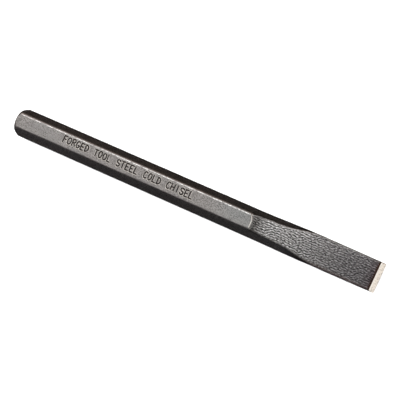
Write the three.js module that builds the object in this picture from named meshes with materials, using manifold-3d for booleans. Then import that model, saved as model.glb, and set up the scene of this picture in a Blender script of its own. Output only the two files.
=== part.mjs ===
// Cold chisel forged in one piece from hexagonal bar, lying on one of its flats.
// Millimetres, +Z up, +X from the struck head towards the cutting edge.
// The origin is under the middle of the part, on the surface it lies on.

import * as THREE from 'three';
import { mergeVertices } from 'three/addons/utils/BufferGeometryUtils.js';
import Module from 'manifold-3d';

// Driving dimensions
const LENGTH = 152.4; // head face to cutting edge
const ACROSS_FLATS = 9.525; // hexagonal bar stock
const EDGE_WIDTH = 11.11; // width of the blade and its cutting edge

// Stations, measured from the head face
const SHOULDER_AT = 102.4; // end of the plain shank
const SHOULDER_RUN = 0.9; // length of the small step down to the forged face
const SIDES_START_AT = 113; // where the side facets begin to stand up
const BLADE_AT = 128; // where the blade is full width and square-sided

// Forged blade
const SHOULDER_STEP = 0.16; // how far the forged face starts below the bar's flat
const SWELL_HALF_WIDTH = 5.63; // the taper spreads a little wider than the blade
const BLADE_END_THICKNESS = 2.1; // thickness where the ground bevel begins
const BAR_CORNER_RADIUS = 0.7; // rolled corners of the bar
const BLADE_CORNER_RADIUS = 0.5; // softened long edges of the blade

// Ground double bevel
const BEVEL_LENGTH = 1.7; // along the axis
const EDGE_LAND = 0.1; // thickness left at the cutting edge

// Turned head
const HEAD_FACE_RADIUS = 4.4; // flat face that the hammer strikes
const HEAD_CHAMFER_ANGLE = THREE.MathUtils.degToRad(33); // from the axis
const HEAD_SEGMENTS = 72;

// Loft resolution
const CORNER_STEPS = 3;
const TAPER_STEPS = 16;

const HALF_FLATS = ACROSS_FLATS / 2;
const HALF_EDGE = EDGE_WIDTH / 2;
const HEX_SLOPE = Math.tan(Math.PI / 6); // sideways run of a side facet per unit of height
const HEX_HALF_WIDTH = ACROSS_FLATS / Math.sqrt(3); // axis to an unrounded corner
const BEVEL_AT = LENGTH - BEVEL_LENGTH;
const CUTTER_REACH = 20; // cutting tools reach well past the bar

const { smoothstep, lerp } = THREE.MathUtils;

// Half thickness of the section at a station: the bar, a small step, then a straight taper.
function halfThickness(at) {
  const taperAt = SHOULDER_AT + SHOULDER_RUN;
  const atTaper = HALF_FLATS - SHOULDER_STEP;
  if (at <= SHOULDER_AT) return HALF_FLATS;
  if (at < taperAt) return lerp(HALF_FLATS, atTaper, (at - SHOULDER_AT) / SHOULDER_RUN);
  const along = (at - taperAt) / (BEVEL_AT - taperAt);
  return lerp(atTaper, BLADE_END_THICKNESS / 2, along);
}

// Half width at mid-height: the bar's corner, the swell of the taper, then the blade.
function halfWidth(at) {
  const spread = smoothstep(at, SHOULDER_AT, SIDES_START_AT);
  const settle = smoothstep(at, SIDES_START_AT, BLADE_AT);
  return lerp(lerp(HEX_HALF_WIDTH, SWELL_HALF_WIDTH, spread), HALF_EDGE, settle);
}

// Half width of the flat face: cut by the bar's own side facets, until the sides stand up.
function faceHalfWidth(at) {
  const onBarFacets = HEX_HALF_WIDTH - halfThickness(at) * HEX_SLOPE;
  return lerp(onBarFacets, halfWidth(at), smoothstep(at, SIDES_START_AT, BLADE_AT));
}

// Points that round one corner, from its setback on the way in to its setback on the way out.
function roundCorner(before, corner, after, setback) {
  const start = corner.clone().add(before.clone().sub(corner).setLength(setback));
  const end = corner.clone().add(after.clone().sub(corner).setLength(setback));
  return new THREE.QuadraticBezierCurve(start, corner, end).getPoints(CORNER_STEPS);
}

// One rounded six-cornered section in the YZ plane, as Vector2 (y, z) about the bar's axis.
function section(at) {
  const face = faceHalfWidth(at);
  const side = halfWidth(at);
  const top = halfThickness(at);
  const corners = [
    new THREE.Vector2(side, 0),
    new THREE.Vector2(face, top),
    new THREE.Vector2(-face, top),
    new THREE.Vector2(-side, 0),
    new THREE.Vector2(-face, -top),
    new THREE.Vector2(face, -top),
  ];
  const barSetback = BAR_CORNER_RADIUS * HEX_SLOPE;
  const squared = smoothstep(at, SIDES_START_AT, BLADE_AT);
  const faceSetback = lerp(barSetback, BLADE_CORNER_RADIUS, squared);
  return corners.flatMap((corner, i) => {
    const before = corners[(i + corners.length - 1) % corners.length];
    const after = corners[(i + 1) % corners.length];
    const setback = corner.y === 0 ? barSetback : faceSetback;
    return roundCorner(before, corner, after, setback);
  });
}

// Closed loft through the sections, with a flat cap at each end.
function loft(stations) {
  const rings = stations.map(section);
  const count = rings[0].length;
  const positions = rings.flatMap((ring, i) => ring.flatMap((p) => [stations[i], p.x, p.y]));
  const indices = [];
  for (let i = 0; i < rings.length - 1; i++) {
    for (let j = 0; j < count; j++) {
      const a = i * count + j;
      const b = i * count + ((j + 1) % count);
      indices.push(a, b, a + count);
      indices.push(b, b + count, a + count);
    }
  }
  const last = (rings.length - 1) * count;
  for (let j = 1; j < count - 1; j++) {
    indices.push(0, j + 1, j);
    indices.push(last, last + j, last + j + 1);
  }
  const geometry = new THREE.BufferGeometry();
  geometry.setAttribute('position', new THREE.Float32BufferAttribute(positions, 3));
  geometry.setIndex(indices);
  return geometry;
}

// Stations of the forging: plain shank, shoulder step, taper, straight blade.
function forgingStations() {
  const stations = [0, SHOULDER_AT, SHOULDER_AT + SHOULDER_RUN];
  const taperAt = stations[stations.length - 1];
  for (let i = 1; i <= TAPER_STEPS; i++) {
    stations.push(lerp(taperAt, BLADE_AT, i / TAPER_STEPS));
  }
  stations.push(LENGTH);
  return stations;
}

// Space inside the turned head: a flat face, a conical chamfer, then clear of the bar.
function headEnvelope() {
  const chamferLength = (CUTTER_REACH - HEAD_FACE_RADIUS) / Math.tan(HEAD_CHAMFER_ANGLE);
  const profile = [
    new THREE.Vector2(0, 0),
    new THREE.Vector2(HEAD_FACE_RADIUS, 0),
    new THREE.Vector2(CUTTER_REACH, chamferLength),
    new THREE.Vector2(CUTTER_REACH, LENGTH + CUTTER_REACH),
    new THREE.Vector2(0, LENGTH + CUTTER_REACH),
  ];
  const geometry = new THREE.LatheGeometry(profile, HEAD_SEGMENTS);
  return geometry.rotateZ(-Math.PI / 2);
}

// Space between the two ground bevels, running the whole width of the blade.
function bevelEnvelope() {
  const halfLand = EDGE_LAND / 2;
  const slope = (halfThickness(BEVEL_AT) - halfLand) / BEVEL_LENGTH;
  const farHeight = halfLand + slope * CUTTER_REACH;
  const outline = new THREE.Shape([
    new THREE.Vector2(LENGTH, -halfLand),
    new THREE.Vector2(LENGTH, halfLand),
    new THREE.Vector2(LENGTH - CUTTER_REACH, farHeight),
    new THREE.Vector2(-CUTTER_REACH, farHeight),
    new THREE.Vector2(-CUTTER_REACH, -farHeight),
    new THREE.Vector2(LENGTH - CUTTER_REACH, -farHeight),
  ]);
  const options = { depth: 2 * CUTTER_REACH, bevelEnabled: false };
  const geometry = new THREE.ExtrudeGeometry(outline, options);
  return geometry.translate(0, 0, -CUTTER_REACH).rotateX(Math.PI / 2);
}

const wasm = await Module();
wasm.setup();

// Closed geometry as a solid that can be cut.
function toSolid(geometry) {
  const bare = geometry.clone();
  bare.deleteAttribute('normal');
  bare.deleteAttribute('uv');
  const merged = mergeVertices(bare, 1e-5);
  return new wasm.Manifold(
    new wasm.Mesh({
      numProp: 3,
      vertProperties: new Float32Array(merged.attributes.position.array),
      triVerts: new Uint32Array(merged.index.array),
    }),
  );
}

function toGeometry(solid) {
  const mesh = solid.getMesh();
  const geometry = new THREE.BufferGeometry();
  geometry.setAttribute('position', new THREE.BufferAttribute(mesh.vertProperties, 3));
  geometry.setIndex(new THREE.BufferAttribute(mesh.triVerts, 1));
  return geometry;
}

// The forging, with its head turned and its edge ground.
function chiselGeometry() {
  const forging = toSolid(loft(forgingStations()));
  const turned = forging.intersect(toSolid(headEnvelope()));
  const ground = turned.intersect(toSolid(bevelEnvelope()));
  const geometry = toGeometry(ground).toNonIndexed();
  geometry.computeVertexNormals();
  return geometry.translate(-LENGTH / 2, 0, HALF_FLATS);
}

const blackenedSteel = new THREE.MeshStandardMaterial({
  color: 0x55555a,
  roughness: 0.45,
  metalness: 0.85,
});

const chisel = new THREE.Mesh(chiselGeometry(), blackenedSteel);
chisel.name = 'chisel';

const part = new THREE.Group();
part.add(chisel);

export default part;
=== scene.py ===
import math
import random

import bpy
import numpy as np
from mathutils import Matrix, Vector, noise


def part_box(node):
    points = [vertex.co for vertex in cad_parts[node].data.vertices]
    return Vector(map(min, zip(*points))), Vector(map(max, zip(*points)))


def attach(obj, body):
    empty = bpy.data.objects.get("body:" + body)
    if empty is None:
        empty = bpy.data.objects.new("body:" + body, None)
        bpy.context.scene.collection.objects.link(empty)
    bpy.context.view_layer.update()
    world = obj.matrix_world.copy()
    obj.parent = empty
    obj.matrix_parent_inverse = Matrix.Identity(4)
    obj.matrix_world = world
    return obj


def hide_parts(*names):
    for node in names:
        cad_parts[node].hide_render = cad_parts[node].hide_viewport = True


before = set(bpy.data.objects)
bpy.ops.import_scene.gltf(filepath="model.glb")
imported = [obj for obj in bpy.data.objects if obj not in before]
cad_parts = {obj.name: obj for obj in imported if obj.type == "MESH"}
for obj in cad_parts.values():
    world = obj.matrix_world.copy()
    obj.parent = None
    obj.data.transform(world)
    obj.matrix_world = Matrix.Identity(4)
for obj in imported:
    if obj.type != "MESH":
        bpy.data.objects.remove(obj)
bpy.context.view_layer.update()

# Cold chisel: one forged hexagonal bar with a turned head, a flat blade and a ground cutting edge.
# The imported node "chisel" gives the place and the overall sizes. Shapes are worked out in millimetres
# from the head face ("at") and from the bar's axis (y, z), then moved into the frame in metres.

MM = 0.001
low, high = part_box("chisel")
origin = Vector((low.x, (low.y + high.y) / 2, (low.z + high.z) / 2))  # head end of the axis

# Driving dimensions, in mm
LENGTH = (high.x - low.x) / MM
ACROSS_FLATS = (high.z - low.z) / MM
EDGE_WIDTH = (high.y - low.y) / MM
HALF_FLATS = ACROSS_FLATS / 2
HALF_EDGE = EDGE_WIDTH / 2
HEX_SLOPE = math.tan(math.pi / 6)
HEX_HALF_WIDTH = ACROSS_FLATS / math.sqrt(3)

# Head
HEAD_FACE_RADIUS = 4.4
HEAD_CHAMFER_ANGLE = 33  # from the axis, in degrees
HEAD_CHAMFER_SLOPE = math.tan(math.radians(HEAD_CHAMFER_ANGLE))
HEAD_RIM = 0.18  # softened rim between face and chamfer
HEAD_END = 1.9  # all of the chamfer lies before this
HEAD_CAP_SHARES = np.linspace(0.94, 0.06, 14)  # rings across its face, as shares of the rim

# Shoulder and forged taper
SHOULDER_AT = 102.4  # end of the plain shank
SHOULDER_STEP = 0.17  # down to the forged face
SHOULDER_RUN = 0.4
SHOULDER_EASE = 0.12  # the face dips a little more just after the step
SHOULDER_EASE_LENGTH = 3.0
SHOULDER_BOW = 0.15  # the line runs back along the bar on one side
SHOULDER_BOW_FROM = -0.3  # from this y on
LIP_AT = -0.12  # crest of the raised lip, past the shoulder line
LIP_HEIGHT = 0.025
LIP_WIDTH = 0.14
BARE_HIGHLIGHT_LINE_AT = -0.05  # middle of a bright line on the lip, past the shoulder line: partly rubbed steel, partly a painted highlight
FORGED_FROM = 0.05  # the forged skin fades in between these, past the shoulder line
FORGED_FULL = 0.7
SWELL_HALF_WIDTH = 5.75  # the taper spreads a little wider than the blade
SWELL_AT = 121.5
SWELL_END = 130.5
RAGGED_DEPTH = 0.07  # how far the edges of the forged face wander
RAGGED_SIZE = (2.2, 1, 1)
RAGGED_RUN = 3  # length over which this sets in
SIDES_FROM = {1: 114.0, -1: 114.8}  # where each side starts to stand up, by sign of y
SIDES_TO = {1: 129.0, -1: 131.5}
BLADE_AT = 128.0
BLADE_OFFSET = 0.15  # the forged blade sits a little to one side of the bar
BAR_CORNER_RADIUS = 0.5
BLADE_CORNER_RADIUS = 0.5
WORN_CORNER_RADIUS = 1.0  # the corner of the top face on the +Y side, rubbed rounder
WORN_IN = 0.06  # and how far it has worn in
WORN_FADE = (SHOULDER_AT - 0.5, SHOULDER_AT + 1.5)  # stations where that wear ends

# Ground edge
BEVEL_LENGTH = 1.7
BEVEL_AT = LENGTH - BEVEL_LENGTH
BEVEL_RINGS = 18
BLADE_END_HALF = 1.05  # half the thickness where the bevel begins
EDGE_HALF = 0.05  # half the thickness left at the cutting edge

# Stamped words
STAMP_FROM = 21.8  # where the first letter starts
STAMP_WORDS = ("FORGED", "TOOL", "STEEL", "COLD", "CHISEL")
STAMP_GAP = 2.2  # extra room between words
STAMP_HEIGHT = 2.45  # of a letter
STAMP_WIDTH = 1.3
STAMP_PITCH = 1.92  # from letter to letter
STAMP_CENTRE_Y = 0.28
STAMP_DRIFT = 0.007  # the row runs off line, in mm per mm
STAMP_DEPTH = 0.22
STAMP_HALF_STROKE = 0.34
STAMP_HALF_FLOOR = 0.05  # half the width of a groove's deepest part
STAMP_LIP = 0.025
STAMP_LIP_AT = 0.06  # from the groove's side to the crest of its lip
STAMP_LIP_WIDTH = 0.1
STAMP_LIP_CUT = 3  # how soon a lip ends where another stroke's groove crosses it
STAMP_LIP_HIGHLIGHT = 0.5  # how bright the lips round the letters are painted: partly rubbed steel, partly a painted highlight
STAMP_LEAD = 0.6  # fine steps begin before the first letter and end after the last
STAMP_TAIL = 0.2
PUNCH_TILT = 2.5  # largest turn of a letter, in degrees
PUNCH_SHIFT = 0.07  # largest shift of a letter across the row
PUNCH_DEPTHS = (0.75, 1.1)  # as shares of the stamp's depth
PUNCH_SEED = 4
BOW_POINTS = 13  # along a curved stroke

# Rubbed corners: partly real rubbing, partly a painted highlight, brightest on the +Y corner of the top
# face
HIGHLIGHT_WEAR_AT = 0.06  # the brightest line of rubbed steel and painted highlight, as a share of the way round a corner from the flat face
HIGHLIGHT_WEAR_SPREAD = 0.18
FLAT_HIGHLIGHT_WEAR = 0.012  # how far it runs onto the flat, as a share of its width
FORGED_HIGHLIGHT_WEAR_LOSS = 0.7  # forged corners get less of the rubbing and the painted highlight
MINUS_Y_HIGHLIGHT_WEAR = 0.3  # and so do the corners on the -Y side, which the painted highlight mostly leaves out

# Forged skin
SKIN_DEPTH = 0.011
SKIN_FADE = 3  # columns over which it fades in from the sides of a face
SKIN_CALM = 0.25  # how much flatter it gets on the blade
CALM_FROM = 124
CALM_FULL = 132
FACE_OFFSET = 40  # each face has its skin from another part of the noise
RELIEF_MEAN = 0.5  # the skin's height, as the material reads it
RELIEF_SCALE = 0.27
FINE_REACH = 3  # detail wider than this many steps is taken out
EVEN_REACH = 6  # and contrast is evened over this many
EVEN_FLOOR = 0.05  # contrast that counts as none

# Patterns that make up the skin, each with its size along (at, y, z)
RIPPLE = 0.8  # from crest to crest
RIPPLES = 0.65  # how strongly they show
STRENGTH_MEAN = 0.85  # they come and go in patches
STRENGTH_CHANGE = 0.7
STRENGTH_SIZE = (1.8, 1.4, 9)
SLANT = (-0.55, 0.8)  # across the ripples where they slant, in (at, y)
SLANT_EDGE = 0.25  # how softly the slanting patches begin
SLANT_SIZE = (3.0, 2.2, 9)
DRIFT = 0.5  # slow wandering of the ripples
DRIFT_SIZE = (5.0, 2.6, 9)
JITTER = 0.2  # quick wandering of the ripples
JITTER_SIZE = (0.9, 0.7, 9)
DASHES = 1.4
DASH_SIZE = (0.9, 0.29, 9)

# Slow waves over every flat
SWAY_DEPTH = 0.012
SWAY_SIZE = (14, 3.5, 9)

# Sizes of the steps along the bar, and where those at the shoulder begin and end
STEP = {"head": 0.05, "plain": 0.8, "stamp": 0.18, "shoulder": 0.08, "blade": 0.19}
SHOULDER_FROM = SHOULDER_AT - 1.6
SHOULDER_TO = SHOULDER_AT + 1.2

# Columns round a section
CORNER_STEPS = 5
TOP_STEPS = 58
UNDER_STEPS = 24
SIDE_STEPS = 5

SEED_SPACING = 37.3  # how far apart seeds lie in the noise


def smoothstep(x, start, end):
    t = np.clip((np.asarray(x, float) - start) / (end - start), 0, 1)
    return t * t * (3 - 2 * t)


def lerp(a, b, t):
    return a + (b - a) * t


def steps(start, end, size):
    """Stations from start up to but not including end."""
    count = max(1, round((end - start) / size))
    return list(np.linspace(start, end, count, endpoint=False))


def wave(points, size, seed):
    """Smooth noise from -1 to 1 at each (at, y, z), with size in mm along each direction."""
    scaled = np.asarray(points, float) / np.asarray(size, float) + SEED_SPACING * seed
    return np.array([noise.noise(p) for p in scaled.tolist()])


# ---------------------------------------------------------------- shape of the forging


def shoulder_line(y):
    """Station of the shoulder across the face: straight, then bowed back towards the head."""
    bowed = np.maximum(0, np.asarray(y, float) - SHOULDER_BOW_FROM)
    return SHOULDER_AT - SHOULDER_BOW * bowed**2


def face_height(at, y):
    """Height of the forged face above the axis."""
    at = np.asarray(at, float)
    past = at - shoulder_line(y)
    after = np.maximum(past, 0)
    straight_fall = HALF_FLATS - SHOULDER_STEP - SHOULDER_EASE - BLADE_END_HALF
    taper = straight_fall * after / (BEVEL_AT - SHOULDER_AT)
    step = SHOULDER_STEP * smoothstep(past, 0, SHOULDER_RUN)
    ease = SHOULDER_EASE * (1 - np.exp(-after / SHOULDER_EASE_LENGTH))
    lip = LIP_HEIGHT * np.exp(-(((past - LIP_AT) / LIP_WIDTH) ** 2))
    return HALF_FLATS + lip - step - ease - taper


def blade_shift(at):
    """How far the forging lies to the +Y side of the bar's axis."""
    return BLADE_OFFSET * smoothstep(at, SHOULDER_AT, BLADE_AT)


def half_width(at):
    """Half width at mid-height: the bar's corner, the swell of the taper, then the blade."""
    spread = smoothstep(at, SHOULDER_AT, SWELL_AT)
    settle = smoothstep(at, SWELL_AT, SWELL_END)
    return lerp(lerp(HEX_HALF_WIDTH, SWELL_HALF_WIDTH, spread), HALF_EDGE, settle)


def face_half_width(at, side):
    """Half width of the face on one side: on the bar's facets first, then out to the full width."""
    squared = smoothstep(at, SIDES_FROM[side], SIDES_TO[side])
    on_facets = HEX_HALF_WIDTH - np.minimum(face_height(at, 0), HALF_FLATS) * HEX_SLOPE
    forged = smoothstep(at, SHOULDER_AT, SHOULDER_AT + RAGGED_RUN) * (1 - squared)
    along = np.column_stack([at, at * 0, at * 0])
    ragged = RAGGED_DEPTH * wave(along, RAGGED_SIZE, seed=2 + side) * forged
    return lerp(on_facets, half_width(at), squared) + ragged


def head_radius(at):
    """Largest radius that the turned head leaves."""
    rim = HEAD_RIM * (1 - np.minimum(np.asarray(at, float) / HEAD_RIM, 1)) ** 2
    return HEAD_FACE_RADIUS + at * HEAD_CHAMFER_SLOPE - rim


def corner_arc(before, corner, after, setback):
    """A circular arc that rounds a corner: (n, CORNER_STEPS + 1, 2) points for n sections."""
    into = before - corner
    out = after - corner
    into /= np.linalg.norm(into, axis=1, keepdims=True)
    out /= np.linalg.norm(out, axis=1, keepdims=True)
    turn_cos = -np.sum(into * out, axis=1)
    weight = np.sqrt(np.clip((1 + turn_cos) / 2, 0, 1))[:, None, None]
    start = (corner + into * setback[:, None])[:, None, :]
    end = (corner + out * setback[:, None])[:, None, :]
    middle = corner[:, None, :]
    t = np.linspace(0, 1, CORNER_STEPS + 1)[None, :, None]
    total = (1 - t) ** 2 + 2 * t * (1 - t) * weight + t**2
    return ((1 - t) ** 2 * start + 2 * t * (1 - t) * weight * middle + t**2 * end) / total


def sections(at):
    """Rounded sections at each station: (n, columns, 3) points, and what each column is.

    The columns run from the +Y corner over the top. kinds holds "edge" for the two outer corners,
    "corner" for the others, and "side", "top" or "under". The third result gives how brightly each
    column is rubbed: partly real rubbing, partly a painted highlight."""
    side = half_width(at)
    plus, minus = face_half_width(at, 1), face_half_width(at, -1)
    top_plus, top_minus = face_height(at, plus), face_height(at, -minus)
    under_plus, under_minus = face_height(at, -plus), face_height(at, minus)
    zero = np.zeros_like(at)
    past_wear = smoothstep(at, *WORN_FADE)
    corners = [
        np.column_stack([side, zero]),
        np.column_stack([plus - WORN_IN * (1 - past_wear), top_plus]),
        np.column_stack([-minus, top_minus]),
        np.column_stack([-side, zero]),
        np.column_stack([-minus, -under_minus]),
        np.column_stack([plus, -under_plus]),
    ]
    squared = smoothstep(at, SIDES_FROM[-1], BLADE_AT)
    bar_setback = np.full_like(at, BAR_CORNER_RADIUS * HEX_SLOPE)
    face_setback = lerp(bar_setback, BLADE_CORNER_RADIUS, squared)
    worn_setback = lerp(WORN_CORNER_RADIUS * HEX_SLOPE, face_setback, past_wear)
    setbacks = [bar_setback, worn_setback, face_setback, bar_setback, face_setback, face_setback]
    face_kinds = ["side", "top", "side", "side", "under", "side"]
    face_steps = {"side": SIDE_STEPS, "top": TOP_STEPS, "under": UNDER_STEPS}
    arcs = []
    for i, (corner, setback) in enumerate(zip(corners, setbacks)):
        arcs.append(corner_arc(corners[i - 1], corner, corners[(i + 1) % 6], setback))
    columns, kinds, wear = [], [], []
    along = np.linspace(0, 1, CORNER_STEPS + 1)
    from_flats = [np.full_like(along, 0.5), 1 - along, along]  # by i % 3: outer, into, out of a flat
    for i, arc in enumerate(arcs):
        columns.append(arc)
        kinds += [("edge" if i % 3 == 0 else "corner")] * (CORNER_STEPS + 1)
        wear += list(np.exp(-(((from_flats[i % 3] - HIGHLIGHT_WEAR_AT) / HIGHLIGHT_WEAR_SPREAD) ** 2)))
        kind = face_kinds[i]
        count = face_steps[kind]
        t = np.linspace(0, 1, count + 1)[1:-1][None, :, None]
        nxt = arcs[(i + 1) % 6]
        flat = lerp(arc[:, -1:, :], nxt[:, :1, :], t)
        if kind == "top":
            flat[..., 1] = face_height(at[:, None], flat[..., 0])
        if kind == "under":
            flat[..., 1] = -face_height(at[:, None], -flat[..., 0])
        columns.append(flat)
        kinds += [kind] * (count - 1)
        inward = np.minimum(t, 1 - t).ravel()
        wear += list(np.exp(-((inward / FLAT_HIGHLIGHT_WEAR) ** 2)) * (kind != "side"))  # side facets stay dull
    yz = np.concatenate(columns, axis=1)
    stations = np.broadcast_to(at[:, None, None], yz.shape[:2] + (1,))
    return np.concatenate([stations, yz], axis=2), np.array(kinds), np.array(wear)


# ---------------------------------------------------------------- stamped words


def bow(cx, cy, rx, ry, start, end):
    """An elliptical stroke, by its angles in degrees."""
    angles = np.radians(np.linspace(start, end, BOW_POINTS))
    return [(cx + rx * math.cos(a), cy + ry * math.sin(a)) for a in angles]


GLYPHS = {
    "C": [bow(0.55, 0.5, 0.55, 0.5, 48, 312)],
    "O": [bow(0.5, 0.5, 0.5, 0.5, 0, 360)],
    "L": [[(0.05, 1), (0.05, 0), (0.95, 0)]],
    "D": [[(0.05, 0), (0.05, 1)], bow(0.05, 0.5, 0.95, 0.5, 90, -90)],
    "H": [[(0, 0), (0, 1)], [(1, 0), (1, 1)], [(0, 0.5), (1, 0.5)]],
    "I": [[(0.5, 0), (0.5, 1)]],
    "S": [bow(0.5, 0.75, 0.5, 0.25, 20, 270), bow(0.5, 0.25, 0.5, 0.25, 90, -160)],
    "E": [[(0.95, 1), (0.05, 1), (0.05, 0), (0.95, 0)], [(0.05, 0.5), (0.8, 0.5)]],
    "F": [[(0.95, 1), (0.05, 1), (0.05, 0)], [(0.05, 0.5), (0.8, 0.5)]],
    "G": [bow(0.55, 0.5, 0.55, 0.5, 48, 340), [(1.05, 0.38), (0.65, 0.38)]],
    "R": [
        [(0.05, 0), (0.05, 1), (0.6, 1)],
        bow(0.6, 0.75, 0.4, 0.25, 90, -90),
        [(0.6, 0.5), (0.05, 0.5)],
        [(0.5, 0.5), (1, 0)],
    ],
    "T": [[(0, 1), (1, 1)], [(0.5, 1), (0.5, 0)]],
}


def stamp_places():
    """Each stamped letter with the station where it starts."""
    places = []
    at = STAMP_FROM
    for word in STAMP_WORDS:
        places += [(at + i * STAMP_PITCH, letter) for i, letter in enumerate(word)]
        at += len(word) * STAMP_PITCH + STAMP_GAP
    return places


def stamp_strokes():
    """Every stroke of the stamped words as (start, end, depth) in (at, y). Each letter is struck a
    little off line and to its own depth, as separate punches are."""
    hand = random.Random(PUNCH_SEED)
    found = []
    for start_at, letter in stamp_places():
        tilt = math.radians(hand.uniform(-PUNCH_TILT, PUNCH_TILT))
        lift = hand.uniform(-PUNCH_SHIFT, PUNCH_SHIFT) - STAMP_DRIFT * (start_at - STAMP_FROM)
        depth = hand.uniform(*PUNCH_DEPTHS)
        centre = (start_at + STAMP_WIDTH / 2, STAMP_CENTRE_Y + lift)
        for stroke in GLYPHS[letter]:
            placed = []
            for gx, gy in stroke:
                x, y = (gx - 0.5) * STAMP_WIDTH, (gy - 0.5) * STAMP_HEIGHT
                turned_x = x * math.cos(tilt) - y * math.sin(tilt)
                turned_y = x * math.sin(tilt) + y * math.cos(tilt)
                placed.append((centre[0] + turned_x, centre[1] + turned_y))
            found += [(a, b, depth) for a, b in zip(placed, placed[1:])]
    return found


def stamp_depth(points):
    """How far the stamping moves the surface at each (at, y), and how much of that is groove or lip."""
    groove = np.zeros(len(points))
    lip = np.zeros(len(points))
    for a, b, depth in stamp_strokes():
        a, b = np.array(a), np.array(b)
        along = b - a
        t = np.clip((points - a) @ along / (along @ along), 0, 1)
        gap = np.linalg.norm(points - a - t[:, None] * along, axis=1)
        inside = 1 - smoothstep(gap, STAMP_HALF_FLOOR, STAMP_HALF_STROKE)
        groove = np.maximum(groove, depth * inside)
        from_crest = gap - STAMP_HALF_STROKE - STAMP_LIP_AT
        lip = np.maximum(lip, np.exp(-((from_crest / STAMP_LIP_WIDTH) ** 2)))
    lip *= np.clip(1 - STAMP_LIP_CUT * groove, 0, 1)
    return STAMP_LIP * lip - STAMP_DEPTH * groove, groove, lip


# ---------------------------------------------------------------- surface of the forging


def forged_texture(points):
    """Forged skin from about -1 to 1: fine ripples that flow along the bar or slant across it in
    patches, broken up by short dashes."""
    at, y = points[:, 0], points[:, 1]
    drift = DRIFT * wave(points, DRIFT_SIZE, seed=5)
    jitter = JITTER * wave(points, JITTER_SIZE, seed=6)
    across_slant = SLANT[1] * y + SLANT[0] * at
    flowing = np.sin(2 * math.pi * (y + drift + jitter) / RIPPLE)
    slanting = np.sin(2 * math.pi * (across_slant + drift + jitter) / RIPPLE)
    share = smoothstep(wave(points, SLANT_SIZE, seed=7), 0, SLANT_EDGE)
    dashes = wave(points, DASH_SIZE, seed=8)
    strength = STRENGTH_MEAN + STRENGTH_CHANGE * wave(points, STRENGTH_SIZE, seed=9)
    return RIPPLES * strength * lerp(flowing, slanting, share) + DASHES * dashes


def blurred(values, reach):
    """The mean of each value's neighbours, up to reach steps away along both axes."""
    kernel = np.full(2 * reach + 1, 1 / (2 * reach + 1))
    result = np.pad(values, reach, mode="edge")
    for axis in (0, 1):
        result = np.apply_along_axis(np.convolve, axis, result, kernel, "valid")
    return result


def evened(values):
    """Only the fine detail of a grid of values, with the same contrast everywhere."""
    fine = values - blurred(values, FINE_REACH)
    contrast = np.sqrt(blurred(fine**2, EVEN_REACH))
    return fine / (contrast + EVEN_FLOOR)


def shaped_body():
    """Body points (n, columns, 3) in mm, and the attributes of each point for the material."""
    text_start = STAMP_FROM - STAMP_LEAD
    text_end = stamp_places()[-1][0] + STAMP_PITCH + STAMP_TAIL
    at = np.array(
        steps(0, HEAD_END, STEP["head"])
        + steps(HEAD_END, text_start, STEP["plain"])
        + steps(text_start, text_end, STEP["stamp"])
        + steps(text_end, SHOULDER_FROM, STEP["plain"])
        + steps(SHOULDER_FROM, SHOULDER_TO, STEP["shoulder"])
        + steps(SHOULDER_TO, BEVEL_AT, STEP["blade"])
        + [BEVEL_AT]
    )
    grid, kinds, wear = sections(at)
    wear = np.broadcast_to(wear, grid.shape[:2]).copy()
    fill = np.zeros(grid.shape[:2])
    bare = np.zeros(grid.shape[:2])
    relief = np.full(grid.shape[:2], RELIEF_MEAN)
    past = grid[..., 0] - shoulder_line(grid[..., 1])
    forged = smoothstep(past, FORGED_FROM, FORGED_FULL)
    stand_up = smoothstep(at, SIDES_FROM[1], BLADE_AT)[:, None]
    forged[:, np.isin(kinds, ["side", "edge"])] *= stand_up
    on_faces = np.isin(kinds, ["top", "under"])[None, :]
    # a bright line on the shoulder's lip: partly rubbed steel, partly a painted highlight
    bare += np.exp(-(((past - BARE_HIGHLIGHT_LINE_AT) / LIP_WIDTH) ** 2)) * on_faces

    for kind, sign in (("top", 1), ("under", -1)):
        cols = np.flatnonzero(kinds == kind)
        flat = grid[:, cols].reshape(-1, 3)
        order = np.arange(len(cols))
        from_edge = np.minimum(order + 1, len(cols) - order) / SKIN_FADE
        fade = np.broadcast_to(np.minimum(from_edge, 1), (len(at), len(cols)))
        skin = evened(forged_texture(flat + [0, 0, FACE_OFFSET * sign]).reshape(fade.shape))
        calmer = 1 - SKIN_CALM * smoothstep(at, CALM_FROM, CALM_FULL)[:, None]
        grid[:, cols, 2] += sign * SKIN_DEPTH * skin * forged[:, cols] * fade * calmer
        relief[:, cols] = RELIEF_MEAN + RELIEF_SCALE * skin * forged[:, cols] * calmer
        sway = SWAY_DEPTH * wave(flat, SWAY_SIZE, seed=11 + sign).reshape(fade.shape)
        grid[:, cols, 2] += sign * sway * fade

    cols = np.flatnonzero(kinds == "top")
    rows = np.flatnonzero((at > text_start) & (at < text_end))
    block = np.ix_(rows, cols)
    shape = (len(rows), len(cols))
    moved, groove, raised = stamp_depth(grid[block].reshape(-1, 3)[:, :2])
    grid[block[0], block[1], 2] += moved.reshape(shape)
    # painted shade in the stamped grooves
    fill[block] = groove.reshape(shape)
    # bright lips round the letters: partly rubbed steel, partly a painted highlight
    bare[block] += STAMP_LIP_HIGHLIGHT * raised.reshape(shape)

    # the painted highlight sits mostly on the bar's +Y corners, less on forged corners and the -Y side
    wear *= 1 - FORGED_HIGHLIGHT_WEAR_LOSS * forged
    wear *= lerp(MINUS_Y_HIGHLIGHT_WEAR, 1, smoothstep(grid[..., 1], -1, 1))
    radius = np.hypot(grid[..., 1], grid[..., 2])
    limit = head_radius(at)[:, None]
    turned = np.where(at[:, None] < HEAD_END, np.minimum(1, limit / radius), 1)
    grid[..., 1:] *= turned[..., None]
    grid[..., 1] += blade_shift(at)[:, None]
    found = {"wear": wear, "fill": fill, "forged": forged, "bare": bare, "relief": relief}
    return grid, found


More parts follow.
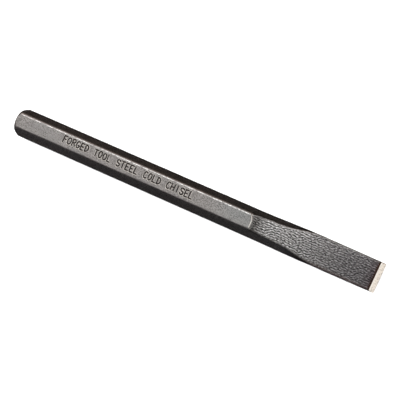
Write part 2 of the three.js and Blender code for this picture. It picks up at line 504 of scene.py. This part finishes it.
def shaped_edge():
    """Points of the ground bevel: the blade's section, cut down to the edge by two flat bevels."""
    at = np.linspace(BEVEL_AT, LENGTH, BEVEL_RINGS)
    whole = np.full_like(at, BEVEL_AT)
    grid, kinds, _ = sections(whole)
    grid[..., 0] = at[:, None]
    limit = lerp(BLADE_END_HALF, EDGE_HALF, (at - BEVEL_AT) / BEVEL_LENGTH)[:, None]
    flats = np.isin(kinds, ["top", "under", "corner"])
    cut = np.clip(grid[:, flats, 2], -limit, limit)
    grid[:, ~flats, 2] *= limit / grid[0, flats, 2].max()
    grid[:, flats, 2] = cut
    grid[..., 1] += blade_shift(whole)[:, None]
    return grid


def mesh_from_grid(name, grid, head_cap=False, attributes=None):
    """A closed smooth mesh from rings of points, in metres in the frame."""
    rings, count = grid.shape[:2]
    points = grid.reshape(-1, 3)
    index = np.arange(rings * count).reshape(rings, count)
    across = np.roll(index, -1, axis=1)
    quads = np.stack([index[:-1], across[:-1], across[1:], index[1:]], axis=-1).reshape(-1, 4)
    faces = [tuple(q) for q in quads.tolist()]
    values = {key: list(v.reshape(-1)) for key, v in (attributes or {}).items()}
    extra = []
    if head_cap:
        ring = index[0]
        rim = grid[0]
        for share in HEAD_CAP_SHARES:
            start = len(points) + len(extra)
            extra += [(rim[j, 0], rim[j, 1] * share, rim[j, 2] * share) for j in range(count)]
            new = np.arange(start, start + count)
            for j in range(count):
                k = (j + 1) % count
                faces.append((int(ring[k]), int(ring[j]), int(new[j]), int(new[k])))
            ring = new
        centre = len(points) + len(extra)
        extra.append((rim[0, 0], 0.0, 0.0))
        for j in range(count):
            faces.append((int(ring[(j + 1) % count]), int(ring[j]), centre))
    else:
        faces.append(tuple(int(i) for i in index[0][::-1]))
    faces.append(tuple(int(i) for i in index[-1]))
    all_points = np.vstack([points, np.array(extra).reshape(-1, 3)]) if extra else points
    placed = all_points * MM + np.array(origin)
    mesh = bpy.data.meshes.new(name)
    mesh.from_pydata(placed.tolist(), [], faces)
    mesh.polygons.foreach_set("use_smooth", [True] * len(mesh.polygons))
    for key, v in values.items():
        layer = mesh.attributes.new(key, "FLOAT", "POINT")
        layer.data.foreach_set("value", v + [0.0] * len(extra))
    mesh.update()
    obj = bpy.data.objects.new(name, mesh)
    bpy.context.scene.collection.objects.link(obj)
    return obj


# ---------------------------------------------------------------- materials

# Colours of the steel
BAR_DARK = (0.115, 0.107, 0.103)
BAR_LIGHT = (0.455, 0.427, 0.41)
BAR_MOTTLE = (0.34, 0.316, 0.302)
BAR_PATCH = (0.26, 0.265, 0.262)
BLADE_DARK = (0.1, 0.098, 0.095)
BLADE_LIGHT = (0.36, 0.35, 0.34)
SKIN_HOLLOW = (0.02, 0.019, 0.018)
SKIN_CREST = (0.85, 0.84, 0.83)
HEAT_BROWN = (0.16, 0.095, 0.075)
DARK_LINE_BEFORE_BEVEL = (0.04, 0.018, 0.01)  # a dark line just before the ground bevel
# painted shade in the stamped grooves
GROOVE_PAINTED_SHADE = (0.04, 0.037, 0.034)
# rubbed steel on the corners, bright enough to stand as a painted highlight
RUBBED_STEEL_HIGHLIGHT = (0.9, 0.882, 0.86)
# bright steel on the lips: partly rubbed, partly a painted highlight
BARE_LIP_HIGHLIGHT = (0.95, 0.91, 0.84)
GROUND_DARK = (0.66, 0.6, 0.52)
GROUND_LIGHT = (0.97, 0.92, 0.83)
GROUND_SPOT = (0.5, 0.46, 0.4)
GROUND_NEAR = (1, 0.965, 0.9)  # where the bevel begins

# Factors on those colours along the bar, two of them painted light: a brighter head end and a darker
# blade towards the edge
# painted sheen: the bar lighter towards the head end
HEAD_PAINTED_SHEEN = (1.13, 1.13, 1.13)
SHANK_END_FACTOR = (0.97, 1.01, 1.02)
AFTER_SHOULDER_FACTOR = (0.38, 0.37, 0.36)
# painted shade: the blade darker towards its edge, as its face tilts away from the light
TOWARD_EDGE_PAINTED_SHADE = (0.48, 0.465, 0.485)
HEAT_FACTOR = (0.72, 0.65, 0.66)


class Nodes:
    """A short way to write a node material."""

    def __init__(self, name):
        self.material = bpy.data.materials.new(name)
        self.material.use_nodes = True
        self.tree = self.material.node_tree
        self.shader = self.tree.nodes["Principled BSDF"]
        place = self.new("ShaderNodeTexCoord").outputs["Object"]
        self.place = self.vector("MULTIPLY", place, (1 / MM, 1 / MM, 1 / MM))

    def new(self, kind, **settings):
        node = self.tree.nodes.new(kind)
        for key, value in settings.items():
            setattr(node, key, value)
        return node

    def plug(self, socket, value):
        if isinstance(value, bpy.types.NodeSocket):
            self.tree.links.new(value, socket)
        else:
            socket.default_value = value

    def math(self, operation, a, b):
        node = self.new("ShaderNodeMath", operation=operation)
        self.plug(node.inputs[0], a)
        self.plug(node.inputs[1], b)
        return node.outputs[0]

    def vector(self, operation, a, b):
        node = self.new("ShaderNodeVectorMath", operation=operation)
        self.plug(node.inputs[0], a)
        self.plug(node.inputs[1], b)
        return node.outputs[0]

    def noise(self, scale, detail=3.0, stretch=(1, 1, 1), offset=(0, 0, 0), roughness=0.55):
        """Noise from 0 to 1, with scale in features per mm."""
        moved = self.vector("ADD", self.vector("MULTIPLY", self.place, stretch), offset)
        node = self.new("ShaderNodeTexNoise")
        self.plug(node.inputs["Vector"], moved)
        self.plug(node.inputs["Scale"], scale)
        self.plug(node.inputs["Detail"], detail)
        self.plug(node.inputs["Roughness"], roughness)
        return node.outputs[0]

    def ramp(self, value, low_in, high_in, low_out=0.0, high_out=1.0):
        """A smooth change from low_out to high_out as value goes from low_in to high_in."""
        node = self.new("ShaderNodeMapRange", interpolation_type="SMOOTHSTEP")
        numbers = (low_in, high_in, low_out, high_out)
        self.plug(node.inputs[0], value)
        for socket, number in zip(node.inputs[1:5], numbers):
            self.plug(socket, number)
        return node.outputs[0]

    def mix(self, factor, a, b, blend="MIX"):
        """Colour a with b blended in, by factor."""
        node = self.new("ShaderNodeMix", data_type="RGBA", blend_type=blend)
        self.plug(node.inputs[0], factor)
        for socket, value in ((node.inputs[6], a), (node.inputs[7], b)):
            self.plug(socket, (*value, 1) if isinstance(value, tuple) else value)
        return node.outputs[2]

    def blend(self, factor, a, b):
        """A number from a to b, by factor."""
        node = self.new("ShaderNodeMix", data_type="FLOAT")
        for socket, value in ((node.inputs[0], factor), (node.inputs[2], a), (node.inputs[3], b)):
            self.plug(socket, value)
        return node.outputs[0]

    def attribute(self, name):
        return self.new("ShaderNodeAttribute", attribute_name=name).outputs["Fac"]

    def axis(self, name):
        """One coordinate of the frame, in mm."""
        split = self.new("ShaderNodeSeparateXYZ")
        self.plug(split.inputs[0], self.place)
        return split.outputs[name]

    def bump(self, height, distance, under=None):
        """A bumped normal, with distance in mm, on top of the one given as under."""
        node = self.new("ShaderNodeBump")
        self.plug(node.inputs["Height"], height)
        self.plug(node.inputs["Distance"], distance * MM)
        self.plug(node.inputs["Strength"], 1.0)
        if under is not None:
            self.plug(node.inputs["Normal"], under)
        return node.outputs[0]

    def finish(self, colour, roughness, metallic, normal):
        self.plug(self.shader.inputs["Base Color"], colour)
        self.plug(self.shader.inputs["Roughness"], roughness)
        self.plug(self.shader.inputs["Metallic"], metallic)
        self.plug(self.shader.inputs["Normal"], normal)
        return self.material


def station(nodes):
    """Distance from the head face in mm, in a material."""
    return nodes.math("SUBTRACT", nodes.axis("X"), low.x / MM)


def blackened_steel():
    """The bar's grained skin and the blade's forged one, with painted light: a brighter head end,
    darker towards the edge, shade in the stamped grooves and highlights on the rubbed corners and lips.
    A dark line runs before the bevel.
    """
    n = Nodes("blackened_steel")
    at = station(n)
    grain = n.noise(2.8, 4, roughness=0.75)
    mottle = n.noise(0.33, 3, offset=(3, 1, 2))
    patch = n.noise(0.07, 2, offset=(9, 4, 7))
    streak = n.noise(2.4, 2, stretch=(0.55, 1.3, 1.3), offset=(5, 2, 8), roughness=0.6)
    forged = n.attribute("forged")
    relief = n.attribute("relief")

    bar = n.mix(n.ramp(grain, 0.36, 0.64), BAR_DARK, BAR_LIGHT)
    bar = n.mix(n.ramp(mottle, 0.35, 0.7, 0, 0.25), bar, BAR_MOTTLE)
    bar = n.mix(n.ramp(patch, 0.4, 0.65, 0, 0.3), bar, BAR_PATCH)
    # painted sheen: the bar lighter towards the head end
    bar = n.mix(n.ramp(at, 5, 60, 1, 0), bar, HEAD_PAINTED_SHEEN, "MULTIPLY")
    shank_end = n.ramp(at, SHOULDER_AT - 24, SHOULDER_AT - 8)
    bar = n.mix(shank_end, bar, SHANK_END_FACTOR, "MULTIPLY")
    blade = n.mix(n.ramp(streak, 0.38, 0.62), BLADE_DARK, BLADE_LIGHT)
    blade = n.mix(n.ramp(relief, 0.05, 0.5, 0.95, 0), blade, SKIN_HOLLOW)
    blade = n.mix(n.ramp(relief, 0.5, 0.95, 0, 0.95), blade, SKIN_CREST)
    # painted shade: the blade darker towards its edge, as its face tilts away from the light
    toward_edge_shade = n.ramp(at, SHOULDER_AT + 4, BEVEL_AT)
    blade = n.mix(toward_edge_shade, blade, TOWARD_EDGE_PAINTED_SHADE, "MULTIPLY")
    after_shoulder = n.ramp(at, SHOULDER_AT + 0.8, SHOULDER_AT + 6.5, 1, 0)
    blade = n.mix(after_shoulder, blade, AFTER_SHOULDER_FACTOR, "MULTIPLY")
    colour = n.mix(forged, bar, blade)

    browned = n.math("MULTIPLY", n.ramp(n.axis("Y"), -4.1, -5.3, 0, 0.4), n.ramp(at, 118, 128))
    colour = n.mix(browned, colour, HEAT_BROWN)
    heat_band = n.ramp(at, BEVEL_AT - 4.5, BEVEL_AT - 0.6)
    colour = n.mix(heat_band, colour, HEAT_FACTOR, "MULTIPLY")
    # a dark line just before the ground bevel
    dark_line = n.ramp(at, BEVEL_AT - 0.95, BEVEL_AT - 0.45, 0, 0.9)
    colour = n.mix(dark_line, colour, DARK_LINE_BEFORE_BEVEL)
    # painted shade in the stamped grooves
    colour = n.mix(n.ramp(n.attribute("fill"), 0.1, 0.6, 0, 0.9), colour, GROOVE_PAINTED_SHADE)

    # corners rubbed bright in patches: partly real rubbing, partly a painted highlight
    rubbed = n.ramp(n.noise(0.9, 4, offset=(1, 6, 3), roughness=0.7), 0.38, 0.6, 0.12, 1)
    rub_and_highlight = n.math("MULTIPLY", n.attribute("wear"), rubbed)
    colour = n.mix(rub_and_highlight, colour, RUBBED_STEEL_HIGHLIGHT)
    # lips at the shoulder and round the letters painted bright: partly rubbed steel, partly a painted
    # highlight
    bare = n.ramp(n.attribute("bare"), 0.1, 0.7)
    colour = n.mix(bare, colour, BARE_LIP_HIGHLIGHT)

    rough_bar = n.ramp(grain, 0.25, 0.75, 0.31, 0.43)
    rough_blade = n.ramp(streak, 0.25, 0.75, 0.42, 0.28)
    rough = n.blend(rub_and_highlight, n.blend(forged, rough_bar, rough_blade), 0.22)

    normal = n.bump(n.noise(1.2, 4, offset=(4, 4, 1), roughness=0.7), 0.08)
    normal = n.bump(n.math("MULTIPLY", streak, forged), 0.1, under=normal)
    return n.finish(colour, rough, 1.0, normal)


def ground_steel():
    """Bright steel with grinding lines along the bar and darker spots."""
    n = Nodes("ground_steel")
    lines = n.noise(1.0, 4, stretch=(0.5, 4, 4), roughness=0.7)
    spots = n.noise(1.7, 2, offset=(2, 2, 2))
    colour = n.mix(n.ramp(lines, 0.35, 0.65), GROUND_DARK, GROUND_LIGHT)
    colour = n.mix(n.ramp(spots, 0.5, 0.62, 0, 0.7), colour, GROUND_SPOT)
    near = n.ramp(station(n), BEVEL_AT, BEVEL_AT + 0.9, 0.6, 0)
    colour = n.mix(near, colour, GROUND_NEAR)
    rough = n.ramp(lines, 0.25, 0.75, 0.3, 0.48)
    return n.finish(colour, rough, 1.0, n.bump(lines, 0.025))


def pale_floor():
    n = Nodes("pale_floor")
    soft = n.noise(0.02, 3)
    colour = n.mix(n.ramp(soft, 0.3, 0.7), (0.88, 0.88, 0.88), (0.9, 0.9, 0.9))
    return n.finish(colour, 0.9, 0.0, n.bump(n.noise(0.8, 2), 0.02))


# ---------------------------------------------------------------- pieces

body_grid, body_attributes = shaped_body()
body = mesh_from_grid("chisel_body", body_grid, head_cap=True, attributes=body_attributes)
body.data.materials.append(blackened_steel())
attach(body, "root")
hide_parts("chisel")

edge = mesh_from_grid("chisel_ground_edge", shaped_edge())
edge.data.materials.append(ground_steel())
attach(edge, "root")
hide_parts("chisel")

# ---------------------------------------------------------------- floor, light and camera

FLOOR_HALF = 3.0  # in metres
floor_mesh = bpy.data.meshes.new("floor")
floor_corners = [(-FLOOR_HALF, -FLOOR_HALF), (FLOOR_HALF, -FLOOR_HALF)]
floor_corners += [(-x, -y) for x, y in floor_corners]
floor_mesh.from_pydata([(x, y, low.z) for x, y in floor_corners], [], [(0, 1, 2, 3)])
floor = bpy.data.objects.new("floor", floor_mesh)
bpy.context.scene.collection.objects.link(floor)
floor_mesh.materials.append(pale_floor())
floor.visible_glossy = False

AMBIENT = 2.2  # radiance of the white light on the floor
WALLS = 0.8  # radiance of the studio's walls in the metal
BELOW = 0.016  # radiance of everything under the horizon in the metal
HORIZON = (-0.17, 0.3)  # the walls brighten between these, by the Z of the direction
CEILING = (0.45, 0.75)  # and end between these
WARM = (1, 0.83, 0.74, 1)  # towards +Y
COOL = (0.88, 0.84, 0.89, 1)  # towards -Y
TINT_REACH = 0.6  # the tints change over this much of the direction's Y, on both sides


def studio_world():
    """Even white light on the floor. The metal mirrors a dim room instead, brighter at its walls."""
    world = bpy.data.worlds.new("studio")
    world.use_nodes = True
    world.cycles.sampling_method = "NONE"  # or the metal would catch the floor's light too
    nodes, links = world.node_tree.nodes, world.node_tree.links

    def ramp(value, limits, results):
        node = nodes.new("ShaderNodeMapRange")
        node.interpolation_type = "SMOOTHSTEP"
        for socket, number in zip(node.inputs[1:5], (*limits, *results)):
            socket.default_value = number
        links.new(value, node.inputs[0])
        return node.outputs[0]

    split = nodes.new("ShaderNodeSeparateXYZ")
    links.new(nodes.new("ShaderNodeTexCoord").outputs["Generated"], split.inputs[0])
    walls = nodes.new("ShaderNodeMath")
    walls.operation = "MINIMUM"
    links.new(ramp(split.outputs["Z"], HORIZON, (BELOW, WALLS)), walls.inputs[0])
    links.new(ramp(split.outputs["Z"], CEILING, (WALLS, 0)), walls.inputs[1])
    tint = nodes.new("ShaderNodeMix")
    tint.data_type = "RGBA"
    tint.inputs[6].default_value = COOL
    tint.inputs[7].default_value = WARM
    links.new(ramp(split.outputs["Y"], (-TINT_REACH, TINT_REACH), (0, 1)), tint.inputs[0])
    room = nodes.new("ShaderNodeBackground")
    links.new(tint.outputs[2], room.inputs["Color"])
    links.new(walls.outputs[0], room.inputs["Strength"])
    ambient = nodes["Background"]
    ambient.inputs["Color"].default_value = (1, 1, 1, 1)
    ambient.inputs["Strength"].default_value = AMBIENT
    choice = nodes.new("ShaderNodeMixShader")
    links.new(nodes.new("ShaderNodeLightPath").outputs["Is Glossy Ray"], choice.inputs[0])
    links.new(ambient.outputs[0], choice.inputs[1])
    links.new(room.outputs[0], choice.inputs[2])
    links.new(choice.outputs[0], nodes["World Output"].inputs[0])
    return world


bpy.context.scene.world = studio_world()
bpy.context.scene.view_settings.view_transform = "Standard"


def softbox(name, place, faces, size, radiance):
    """A rectangular light at a place in metres, turned to face another, of one radiance all over."""
    light = bpy.data.lights.new(name, "AREA")
    light.shape = "RECTANGLE"
    light.size, light.size_y = size
    light.energy = radiance * math.pi * size[0] * size[1]
    lamp = bpy.data.objects.new(name, light)
    bpy.context.scene.collection.objects.link(lamp)
    lamp.location = place
    lamp.rotation_euler = (Vector(place) - Vector(faces)).to_track_quat("Z", "Y").to_euler()
    lamp.visible_camera = False


# Long strips over the bar, which its flat faces and rounded corners mirror
softbox("overhead_strip", (-0.44, 0.077, 1.1), faces=(-0.44, 0, 0), size=(1.05, 0.24), radiance=1.8)
softbox("back_strip", (-0.3, 0.43, 0.9), faces=(-0.3, 0, 0), size=(1.0, 0.36), radiance=2.45)
softbox("front_strip", (-0.3, -0.42, 0.91), faces=(-0.3, 0, 0), size=(1.0, 0.36), radiance=0.5)

# Soft lights for the ground edge and the head
softbox("edge_fill", (0.72, 0.06, 0.62), faces=(0.07, 0, 0), size=(0.4, 0.4), radiance=1.9)
softbox("head_fill", (-1.2, 0, 0.4), faces=(0, 0, 0), size=(0.8, 0.5), radiance=0.8)

# Camera: above the chisel, tilted towards its edge and a little to one side, with the bar turned
# in the picture.
VIEW_TILT = math.radians(21.5)
VIEW_SIDE = math.radians(4.0)
PICTURE_TURN = math.radians(23.73)
VIEW_DISTANCE = 0.655
AIM_X = 0.00315  # a little past the middle of the bar
LENS = 163.4  # in mm
aim = Vector((AIM_X, 0, (low.z + high.z) / 2))
turn = (
    Matrix.Rotation(VIEW_SIDE, 4, "X")
    @ Matrix.Rotation(VIEW_TILT, 4, "Y")
    @ Matrix.Rotation(PICTURE_TURN, 4, "Z")
)
camera_data = bpy.data.cameras.new("camera")
camera_data.lens = LENS
camera = bpy.data.objects.new("camera", camera_data)
camera.matrix_world = Matrix.Translation(aim + turn.to_3x3() @ Vector((0, 0, VIEW_DISTANCE))) @ turn
bpy.context.scene.collection.objects.link(camera)
bpy.context.scene.camera = camera
